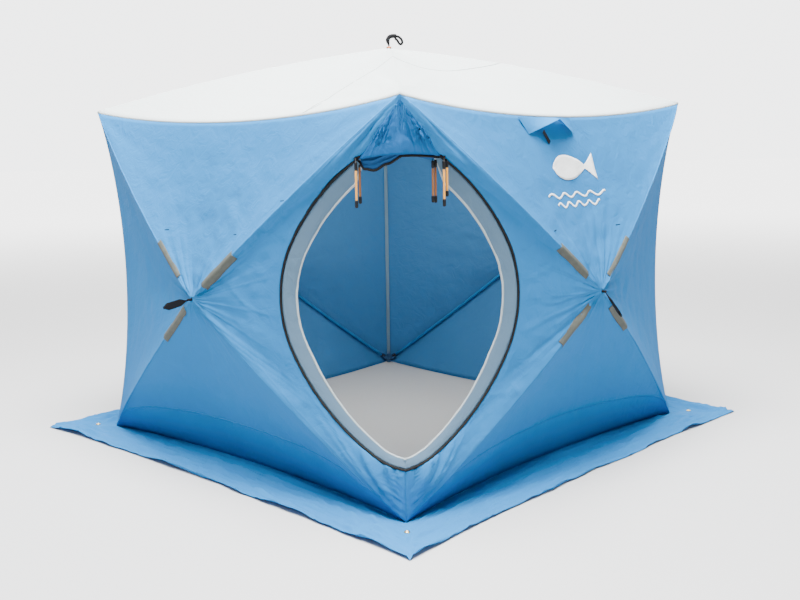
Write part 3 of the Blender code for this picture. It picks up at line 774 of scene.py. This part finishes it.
def dress_wall(wall, cloth):
    """Seams along the poles and over the foot, grey tapes on the sleeves' ends, and black bar tacks."""
    seams = []
    for side, up in ((-1, 1), (1, 1), (-1, -1), (1, -1)):
        path = path_on(wall, [on_pole(side, up, 0.03), on_pole(side, up, 0.97)])
        seams.append(ribbon(cloth, path, 0.0045, 0.0003, 0.0009))
    end = 0.93
    shares = [k / 20 for k in range(-20, 21)]
    low = [(end * t, 0.165 + 0.03 * (1 - t ** 2) - 0.10 * abs(t) ** 6) for t in shares]
    seams.append(ribbon(cloth, path_on(wall, low), 0.005, 0.0003, 0.0008))
    laid(f"wall_seams_{wall}", cloth, seams, SEAM_BLUE, "blue_fabric")
    tapes = []
    for side, up, start, end in TAPES.get(wall, BACK_TAPES):
        path = path_on(wall, [on_pole(side, up, start), on_pole(side, up, end)], 0.007)
        tapes.append(ribbon(cloth, path, 0.019, 0.0024, 0.0012))
    laid(f"sleeve_tapes_{wall}", cloth, tapes, TAPE_GREY, "black_webbing", 0.0012)
    tacks = []
    for u, z in TACKS.get(wall, BACK_TACKS):
        path = path_on(wall, [(u - 0.012, z), (u + 0.012, z + 0.002)], 0.006)
        tacks.append(ribbon(cloth, path, 0.0016, 0.0008, 0.0008))
    laid(f"bar_tacks_{wall}", cloth, tacks, WEBBING, "black_webbing")


# ---------------- skirt
def skirt_edge(side, t):
    """How far the outer edge wanders out, at a share t along a side."""
    broad = noise.noise((t * 5.0 + side * 9.7, 0.3, 1.0)) * 0.022
    fine = noise.noise((t * 21.0 + side * 3.1, 4.0, 2.0)) * 0.006
    return broad + fine + noise.noise((t * 90.0, side, 5.0)) * 0.0025


EYELETS = ((-1.514, 0.03), (0.0, -1.505), (1.522, 0.03), (0.0, 1.51))
SKIRT_LIES = 0.0036


def skirt_height(p, side, t, d):
    """Folds of the skirt; d runs from 0 at the wall to 1 at the outer edge."""
    along = t * 2.0
    height = 0.012 * d * max(0.0, noise.noise((along * 1.3, d * 3.2, 20 + side * 7.0)) + 0.12)
    height += 0.016 * ridge(noise.noise((along * 1.1 + 3, d * 5.5 + side, 31.0)), 0.15) * min(1, d * 5)
    height += 0.010 * ridge(noise.noise((along * 2.6 + d * 2, d * 8.5 + side, 37.0)), 0.10) * min(1, d * 4)
    height += 0.006 * ridge(noise.noise((along * 5.0 - d * 3, d * 9.0 + side, 43.0)), 0.12) * min(1, d * 3)
    height += 0.005 * (0.2 + d) * (noise.noise((along * 9.0, d * 9.0, 50.0 + side)) + 0.3)
    rise = max(0.0, noise.noise((along * 3.1, 0.0, 60.0 + side * 5.0)) - 0.05)
    height += 0.035 * rise * max(0.0, d - 0.6) / 0.4
    for x, y in EYELETS:
        near = math.hypot(p.x - x, p.y - y)
        height *= min(1.0, max(0.0, near - 0.015) / 0.05)
    return max(0.0, height)


def make_skirt():
    sheet = Sheet()
    across_rows, along_columns = 34, 150
    for side, wall in enumerate(WALLS):
        start, end, pull = wall_edges(wall)[0]
        facing = FACING[wall]
        rows = []
        for i in range(across_rows + 1):
            d = i / across_rows
            row = []
            for j in range(along_columns + 1):
                t = j / along_columns
                near = start.lerp(end, t) + pull * drawn(t)
                far = start.lerp(end, t) * (SKIRT_CORNER * math.sqrt(2) / SIDE)
                far += facing * (skirt_edge(side, t) * min(1.0, 8 * t, 8 * (1 - t)) - SKIRT_DRAW * drawn(t))
                near = near * (1 - SKIRT_TUCK / near.dot(facing))
                p = near.lerp(far, d)
                p.z = SKIRT_LIES + skirt_height(p, side, t, d) * min(1.0, 12 * t + d, 12 * (1 - t) + d)
                if j in (0, along_columns):
                    p.z = SKIRT_LIES + 0.004 * d * (1 - d)
                row.append((p, 0.0, False))
            rows.append(row)
        sheet.grid(rows)
    made = piece("skirt_cloth", sheet.points, sheet.faces, BLUE, "blue_fabric", "root")
    face_towards(made, UP)
    thicken(made, 0.0016)
    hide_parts("snow_skirt")
    return made


def make_eyelets():
    """Brass eyelets in the skirt, with the ground seen through them."""
    across, along = Vector((1, 0, 0)), Vector((0, 1, 0))
    rings, discs = [], []
    for x, y in EYELETS:
        centre = Vector((x, y, 0.0045))
        rings.append(tube_mesh(circle(centre, across, along, 0.0085, 28), 0.0032, UP, 8, closed=True))
        disc = circle(centre, across, along, 0.0065, 20)
        under = [p - UP * 0.001 for p in disc]
        discs.append(([*under, *disc], [*skin(2, 20, ring=True), *caps(2, 20)]))
    piece("skirt_eyelets", *joined(*rings), BRASS, "black_plastic", "root")
    piece("eyelet_holes", *joined(*discs), SNOW, "pale_fabric", "root", smooth=False)


# ---------------- door
def flap_taper(turn, z):
    """The flap narrows towards the door's foot, and behind the rolled door at its top."""
    behind = min(1.0, max(0.0, (abs(turn) - 0.168) / 0.03))
    return (0.5 + 0.5 * min(1.0, max(0.0, (z - 0.2) / 0.35))) * (0.12 + 0.88 * behind)


def door_band(name, section, finish, slot, steps):
    """A closed band round the door; section(turn, z) gives the (offset, lift) points of its outline."""
    points = []
    wide = len(section(0, 0))
    stations = [(k / steps, 1) for k in range(steps + 1)] + [(k / steps, -1) for k in range(steps - 1, 0, -1)]
    for turn, sign in stations:
        _, height = outline_point(turn, 0)
        for offset, lift in section(turn * sign, height):
            x, z = outline_point(turn, offset)
            points.append(door_point(sign * x, z, lift))
    return piece(name, points, skin(len(stations), wide, ring=True, loop=True), finish, slot, "root")


def zip_section(turn, _):
    """Two tapes with the coil between them, which pulses with its teeth."""
    h = ZIP_HALF
    coil = 0.0036 + 0.0006 * math.sin(turn * 2400)
    return [(-h, -0.003), (-h, 0.0012), (-h * 0.45, 0.0016), (-h * 0.3, coil), (h * 0.3, coil),
            (h * 0.45, 0.0016), (h + 0.0012, 0.0012), (h + 0.0012, -0.003)]


def flap_at(turn, z, s):
    """(offset, lift) of the storm flap at a share s of its width: it curls inwards in shallow waves."""
    width = FLAP_WIDTH * flap_taper(turn, z)
    wave = 0.004 * s * noise.noise((turn * 14, s * 2, 3.0)) + 0.002 * s * noise.noise((turn * 45, s, 9.0))
    return -ZIP_HALF - 0.0004 - width * s, -0.002 - 0.016 * s ** 1.5 + wave


def flap_section(turn, z):
    rows = [flap_at(turn, z, k / 8) for k in range(9)]
    return [*rows, *((offset, lift - 0.0012) for offset, lift in reversed(rows))]


def hem_section(turn, z):
    edge, lift = flap_at(turn, z, 1.0)
    return [(edge - 0.002, lift - 0.002), (edge - 0.002, lift + 0.001), (edge + 0.006, lift + 0.0022),
            (edge + 0.006, lift - 0.002)]


def make_door():
    coil = door_band("zip_band", zip_section, ZIP_BLACK, "black_webbing", 420)
    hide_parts("door_zip")
    flap = door_band("storm_flap_cloth", flap_section, PALE, "pale_fabric", 160)
    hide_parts("storm_flap")
    door_band("storm_flap_hem", hem_section, HEM_WHITE, "pale_fabric", 160)


def lintel_edge(x):
    """Height of the lower edge of the cloth above the rolled door."""
    return 1.346 + 0.014 * (1 - (x / 0.18) ** 2) + 0.004 * x / 0.18


LINTEL_TOP = 1.548
LINTEL_ENDS = {"left": 0.176, "right": 0.180}


def lintel_half(cloth, sign, end):
    """One wall's half of the gathered cloth over the door: loose at its foot, sewn down higher up."""
    columns, rows_up = 44, 30
    points, weights = [], []
    for i in range(columns + 1):
        share = i / columns
        rim = min(1.0, (1 - share) * 9)
        foot_x = end * share
        foot_z = lintel_edge(sign * foot_x) - 0.002
        for j in range(rows_up + 1):
            s = j / rows_up
            x, z = foot_x * (1 - s), foot_z + (LINTEL_TOP - foot_z) * s
            pleat = max(0.0, 1 - abs(noise.noise((share * 5.5 + 3 * sign, s * 0.8, 4.0))) * 3.0)
            gathered = math.sin(math.pi * min(1.0, s + 0.15)) * min(1.0, 3 * share)
            fold = 0.0035 + 0.0065 * pleat * gathered
            fold += 0.0035 * (1 - s) ** 3 + 0.0015 * noise.noise((share * 9, s * 14, 7.0 + sign))
            flat = door_point(sign * x, z, 0.0052 + 0.006 * rim * math.sin(math.pi * s))
            p, w = cloth.under(flat, 0.0006 + fold * rim)
            sewn = min(1.0, s / 0.34) ** 2
            p = (flat + FRONT * (fold * 0.8 * rim)).lerp(p, sewn)
            if i == 0:
                p.x = 0.0
            points.append(p)
            weights.append(w * sewn if i else 0.0)
    return points, weights, skin(columns + 1, rows_up + 1, flip=True)


def make_lintel(cloths):
    """The gathered triangle of cloth from the front top corner down over the zip, a half on each wall."""
    for side, end in LINTEL_ENDS.items():
        sign = -1 if side == "left" else 1
        wall = f"front_{side}"
        cloth = cloths[wall]
        half = lintel_half(cloth, sign, end)
        laid(f"door_lintel_{side}", cloth, [half], LINTEL_BLUE_SHADED, "blue_fabric", 0.001)
        stitches = []
        for offset in (0.010, 0.016):
            path = [door_point(sign * offset, 1.44 + 0.09 * k / 24, 0) for k in range(25)]
            stitches.append(ribbon(cloth, path, 0.0014, 0.0052, 0.0008))
        laid(f"lintel_stitching_{side}", cloth, stitches, SEAM_BLUE, "blue_fabric", 0.0006)


ROLL_ENDS = -0.184, 0.176
ROLL_HANG = (  # (place across the door, how far the roll hangs there)
    (-0.184, 0.004), (-0.155, 0.040), (-0.115, 0.050), (-0.060, 0.032), (0.010, 0.007), (0.180, 0.006),
)


def roll_height(x):
    """(upper, lower) edge of the bunched door cloth, across the unfolded door."""
    top = lintel_edge(x)
    for (x0, h0), (x1, h1) in zip(ROLL_HANG, ROLL_HANG[1:], strict=False):
        if x <= x1:
            s = max(0.0, (x - x0) / (x1 - x0))
            break
    return top + 0.020, top - h0 - (h1 - h0) * s * s * (3 - 2 * s)


def make_roll():
    columns, rows_up = 72, 34
    first, last = ROLL_ENDS
    front, lower = [], []
    for i in range(columns + 1):
        x = first + (last - first) * i / columns
        top, bottom = roll_height(x)
        pinch = min(1.0, 7 * i / columns, 7 * (1 - i / columns)) * 0.85 + 0.15
        for j in range(rows_up + 1):
            s = j / rows_up
            z = top + (bottom - top) * s
            pleat = abs(math.sin(s * 8 + 1.4 * noise.noise((x * 8, s * 2, 2.0)) + x * 7))
            bulge = 0.010 * math.sin(math.pi * min(1.0, s * 0.85 + 0.1)) * pinch
            front.append(door_point(x, z, -0.007 + bulge - 0.007 * pleat * pinch * min(1.0, 5 * s)))
        lower.append(door_point(x, bottom - 0.0005, -0.006))
    faces = skin(columns + 1, rows_up + 1, flip=True)
    roll = piece("rolled_door", front, faces, ROLL_BLUE_SHADED, "blue_fabric", "root")
    face_towards(roll, FRONT)
    thicken(roll, 0.014)
    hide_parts("door_roll", "door_tie_left", "door_tie_right")
    piece("rolled_door_zip", *tube_mesh(lower, 0.0046, FRONT, 8), ZIP_BLACK, "black_webbing", "root")


def make_pull(name, hinge, body, scale=1.0, tube=CORD_ORANGE):
    """A zip pull hanging from its hinge: black tab, coloured tube, black end."""
    def stack(*profile):
        path = [hinge - UP * (drop * scale) for drop, _ in profile]
        return tube_mesh(path, [r for _, r in profile], FRONT, 12)

    neck = stack((0.001, 0.0018), (0.014, 0.0019), (0.016, 0.0055), (0.020, 0.0062), (0.038, 0.0060),
                 (0.044, 0.0046), (0.046, 0.0030))
    rod = stack((0.045, 0.0036), (0.047, 0.0043), (0.100, 0.0042), (0.150, 0.0043), (0.155, 0.0038))
    tip = stack((0.152, 0.0046), (0.154, 0.0060), (0.160, 0.0064), (0.174, 0.0062), (0.178, 0.0050),
                (0.179, 0.0030))
    black = piece(f"{name}_ends", *joined(neck, tip), NYLON, "black_plastic", body)
    coloured = piece(f"{name}_tube", *rod, tube, "orange_cord", body)
    if body.startswith("zip_pull_"):
        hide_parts(body)
        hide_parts(body)


EXTRA_PULLS = {  # (name, how far inwards, along and up from the slider's own pull, scale, tube)
    "left": (("inner_pull_left", 0.030, 0.004, 0.010, 0.98, CORD_SHADED),),
    "right": (("second_pull_right", 0.006, 0.018, -0.004, 0.78, CORD_ORANGE),
              ("third_pull_right", 0.030, -0.028, 0.0, 0.92, CORD_SHADED),
              ("fourth_pull_right", 0.034, -0.013, 0.004, 0.95, CORD_SHADED)),
}


def make_pulls():
    for side, sign in (("left", -1), ("right", 1)):
        low, high = (Vector(c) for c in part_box(f"zip_pull_{side}"))
        hinge = Vector(((low.x + high.x) / 2, (low.y + high.y) / 2, high.z - 0.0036))
        make_pull(f"pull_{side}", hinge, f"zip_pull_{side}")
        across, out = door_axes(sign)
        for name, inwards, along, up, scale, tube in EXTRA_PULLS[side]:
            place = hinge - out * inwards + across * along + UP * up
            make_pull(name, place, f"zip_slider_{side}", scale, tube)


# ---------------- straps
STRAP_ANGLES = {"front_left": 8, "front_right": 50, "back_right": 90, "back_left": 90}
STRAP_REACH, STRAP_BODY, STRAP_HALF, WEBBING_HALF = 0.125, 0.024, 0.0145, 0.0011
PIN_OUT = 0.012  # how far a strap's pin is outside the cloth at the hub


def make_roof_strap():
    """A doubled webbing that flops to one side and opens into a loop, over a washer on the hub's stub."""
    origin = UP * (PEAK + PIN_OUT)
    across, sideways = Vector((1, 0, 0)), Vector((0, 1, 0))

    def through(*places):
        return curve_through([origin + across * a + UP * b + sideways * c for a, b, c in places], 5)

    doubled = through((0.000, 0.003, 0), (-0.003, 0.013, 0), (-0.005, 0.027, 0.001), (0.003, 0.040, 0.003),
                      (0.018, 0.045, 0.004), (0.036, 0.044, 0.003))
    loop = through((0.028, 0.045, 0.003), (0.046, 0.041, 0.003), (0.060, 0.029, 0.001),
                   (0.065, 0.014, -0.001), (0.058, 0.005, -0.003), (0.049, 0.010, -0.003),
                   (0.042, 0.022, -0.002), (0.030, 0.035, 0.001))
    swell = [0.0042 + 0.0060 * min(1.0, i / 9) for i in range(len(doubled))]
    both = joined(tube_mesh(doubled, swell, sideways), tube_mesh(loop, 0.0062, sideways))
    made = piece("pull_strap_roof", *both, WEBBING, "black_webbing", "strap_roof")
    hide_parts("strap_roof")
    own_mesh(made)
    ring = circle(UP * (PEAK + 0.003), across, sideways, 0.0098, 28)
    washer = tube_mesh(ring, 0.0034, UP, 8, closed=True)
    piece("roof_washer", *washer, COPPER, "black_plastic", "hub_roof")


def strap_width(name, axis, third):
    """The direction of a strap's width: the front ones are twisted on their pins."""
    if name == "front_left":
        return third
    return (axis * 0.75 + third * 0.66).normalized() if name == "front_right" else axis


def make_strap(name):
    """A loop of webbing on the hub's pin, which narrows towards the pin and at its end."""
    facing, axis = FACING[name], UP.cross(FACING[name])
    angle = math.radians(STRAP_ANGLES[name])
    out = facing * math.cos(angle) - UP * math.sin(angle)
    third = axis.cross(out)
    origin = wall_hub(name) + facing * PIN_OUT
    wide = strap_width(name, axis, third)
    opened = axis if name == "front_left" else third
    half_way, near_end = STRAP_REACH * 0.55, STRAP_REACH - 0.006
    path = curve_through([origin + out * far + opened * gap for far, gap in (
        (0.004, 0), (0.012, 0), (STRAP_BODY, 0.001), (half_way, 0.0026), (near_end, 0.003), (STRAP_REACH, 0),
        (near_end, -0.003), (half_way, -0.0026), (STRAP_BODY, -0.001), (0.013, 0))], 6)
    points = []
    for i, p in enumerate(path):
        along = (path[min(i + 1, len(path) - 1)] - path[max(i - 1, 0)]).normalized()
        normal = along.cross(wide).normalized()
        far = (p - origin).dot(out)
        grow = min(1.0, max(0.22, (far - 0.012) / 0.030), max(0.35, (STRAP_REACH + 0.004 - far) / 0.022))
        for u, v in ((-1, -1), (-1, 1), (1, 1), (1, -1)):
            points.append(p + wide * (STRAP_HALF * grow * u) + normal * (WEBBING_HALF * v))
    faces = skin(len(path), 4, ring=True) + caps(len(path), 4)
    body = f"strap_{name}"
    made = piece(f"pull_strap_{name}", points, faces, WEBBING, "black_webbing", body, smooth=False)
    bevel = made.modifiers.new("edges", "BEVEL")
    bevel.width, bevel.segments, bevel.limit_method = 0.0006, 2, "ANGLE"
    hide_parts(body)
    eye = tube_mesh(circle(origin, out, third, 0.0034, 20), 0.0014, axis, 8, closed=True)
    piece(f"strap_eye_{name}", *eye, NYLON, "black_plastic", body)


# ---------------- pole sleeves
SLEEVE_RADIUS, SLEEVE_SEAM = 0.0082, 0.014
SLEEVE_START, SLEEVE_SHORT = 0.016, 0.14  # from the pole's pin, and how much shorter than the pole


def make_sleeves():
    """A fabric sleeve round each pole, with its seam towards the wall in front of it."""
    arc = (math.radians(d) for d in range(60, 301, 30))
    section = [(math.cos(a) * SLEEVE_RADIUS, math.sin(a) * SLEEVE_RADIUS) for a in arc]
    stations, wide = 23, len(section) + 2
    ends = [tuple(reversed(end)) for end in caps(stations, wide)]
    faces = skin(stations, wide, ring=True, flip=True) + ends
    for joint in frame["joints"]:
        pole = joint["child"]
        if not pole.startswith("pole_"):
            continue
        pivot = Vector(joint["pos_m"])
        wall = next((w for w in WALLS if pole.startswith(f"pole_{w}_")), None)
        facing = FACING[wall] if wall else UP
        ray = (wall_hub(wall) if wall else UP * PEAK) - facing * HUB_DEPTH - pivot
        along = ray.normalized()
        bulge = (facing - along * facing.dot(along)).normalized()
        side = along.cross(bulge)
        points = []
        for i in range(stations):
            s = (SLEEVE_START + (ray.length - SLEEVE_SHORT) * i / (stations - 1)) / ray.length
            centre = pivot + ray * s + bulge * (POLE_BOW * 4 * s * (1 - s))
            crumple = 1 + 0.06 * noise.noise((s * 30, len(pole) * 1.7, pivot.x * 3))
            round_part = [(b * crumple, c * crumple) for b, c in section]
            edge = 0.0007 * crumple
            for b, c in [(SLEEVE_SEAM, edge), *round_part, (SLEEVE_SEAM, -edge)]:
                points.append(centre + bulge * b + side * c)
        finish, slot = (BLUE, "blue_fabric") if wall else (ROOF_WHITE, "roof_fabric")
        piece(f"sleeve_{pole[5:]}", points, faces, finish, slot, pole)


# ---------------- corner tapes
def make_corner_tapes():
    """The pale tape that covers each corner seam on the inside, except at the door."""
    stations = 61
    for name in ("back", "left", "right"):
        outward = turned(CORNERS[name])
        across = outward.cross(UP)
        foot = outward * (SIDE / math.sqrt(2))
        points = []
        for i in range(stations):
            t = 0.02 + 0.96 * i / (stations - 1)
            height = WALL_FOOT + (EAVE - WALL_FOOT) * t
            middle = foot + UP * height - outward * (EDGE_PULL * drawn(t) + 0.006)
            for side, back in ((-0.010, 0.0045), (0, 0.0), (0.010, 0.0045)):
                points.append(middle + across * side - outward * back)
        made = piece(f"corner_tape_{name}", points, skin(stations, 3), TAPE_PALE, "pale_fabric", "root")
        thicken(made, 0.0008)


# ---------------- print
PRINT_MIDDLE, PRINT_LEVEL, FISH_LONG, FISH_HALF = -0.015, 1.285, 0.260, 0.052
WAVES = ((0.112, 0.215), (0.150, 0.165))  # (how far below the fish, half length)


def make_print(cloth):
    """A plain white fish over two wavy lines on the front right wall."""
    shares = [k / 28 for k in range(29)]
    body = [(t, FISH_HALF * math.sin(math.pi * t ** 0.75) ** 0.9 if 0 < t < 1 else 0.0004) for t in shares]
    tail = [(0.93 + 0.27 * k / 8, 0.007 + 0.050 * (k / 8) ** 1.2) for k in range(9)]
    strips = []
    for profile in (body, tail):
        points, weights = [], []
        for share, half in profile:
            along = PRINT_MIDDLE + FISH_LONG * (share - 0.5)
            for side in range(-5, 6):
                place = wall_point("front_right", along, OUTSIDE, PRINT_LEVEL + half * side / 5)
                p, w = cloth.under(place, 0.0018)
                points.append(p)
                weights.append(w)
        strips.append((points, weights, skin(len(profile), 11)))
    for drop, half_length in WAVES:
        path = [wall_point("front_right", PRINT_MIDDLE + half_length * (k / 30 - 0.5) * 2, OUTSIDE,
                           PRINT_LEVEL - drop + 0.010 * math.sin(k * 0.9)) for k in range(31)]
        strips.append(ribbon(cloth, path, 0.0040, 0.0010))
    laid("wall_print", cloth, strips, PRINT, "pale_fabric", 0.0004)


# ---------------- vent
VENT_TOP, VENT_LOW, VENT_BASE = 1.488, 1.424, 0.010
VENT_PEAK, VENT_LIFT = -0.095, 0.068
VENT_LEFT, VENT_RIGHT = (-0.30, -0.256), (0.062, 0.067)  # upper and lower corner


def vent_point(along, lift, height):
    """A place on the slope from the front right eave to its hub, lifted off it."""
    top = EAVE - EAVE_SAG
    fall = (top - height) / (top - HUB_HEIGHT)
    out = SIDE / 2 - EAVE_PULL + (HUB_OUT + EAVE_PULL) * fall
    return wall_point("front_right", along, out + lift, height)


def make_vent():
    """The hood over the vent: two panels that meet in a raised ridge."""
    top = [vent_point(u, VENT_BASE, VENT_TOP + 0.004) for u in (VENT_LEFT[0], VENT_PEAK, VENT_RIGHT[0])]
    low = [vent_point(VENT_LEFT[1], VENT_BASE, VENT_LOW), vent_point(VENT_PEAK, VENT_LIFT, VENT_TOP - 0.003),
           vent_point(VENT_RIGHT[1], VENT_BASE, VENT_LOW)]
    panels = []
    across, down = 14, 8
    for k in (0, 1):
        points = []
        for s in (i / across for i in range(across + 1)):
            a, b = top[k].lerp(top[k + 1], s), low[k].lerp(low[k + 1], s)
            for t in (j / down for j in range(down + 1)):
                points.append(a.lerp(b, t) - UP * (0.004 * math.sin(math.pi * s) * math.sin(math.pi * t)))
        panels.append((points, skin(across + 1, down + 1, flip=True)))
    made = piece("vent_cloth", *joined(*panels), BLUE, "blue_fabric", "root", smooth=False)
    face_towards(made, FACING["front_right"])
    thicken(made, 0.0012)
    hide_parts("vent_hood")
    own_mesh(made)


# ---------------- put together
set_camera()
set_floor()
set_light()


cloths = {}
for wall_name in WALLS:
    cloths[wall_name], wall_piece = make_wall(wall_name)
    dress_wall(wall_name, cloths[wall_name])
roof_cloth, roof_piece = make_roof()
make_roof_seam(roof_cloth)
make_skirt()
make_eyelets()
make_door()
make_lintel(cloths)
make_roll()
make_pulls()
for strap_name in STRAP_ANGLES:
    make_strap(strap_name)
make_roof_strap()
make_sleeves()
make_corner_tapes()
make_print(cloths["front_right"])
make_vent()

# Feet and corner joints take the dark blue of painted shade.
FINISHES = (
    ("pole_", FIBRE), ("corner_joint_", SHADED_CLOTH_BLUE), ("foot_", SHADED_CLOTH_BLUE), ("hub_", NYLON), ("zip_slider_", NYLON),
    ("vent_stay", WEBBING), ("strap_", WEBBING), ("door_tie_", WEBBING), ("zip_pull_", CORD_ORANGE),
)
for node_name, solid in frame["nodes"].items():
    finish = next((f for start, f in FINISHES if node_name.startswith(start)), None)
    if finish:
        for material_slot in solid.material_slots:
            material_slot.material = finish
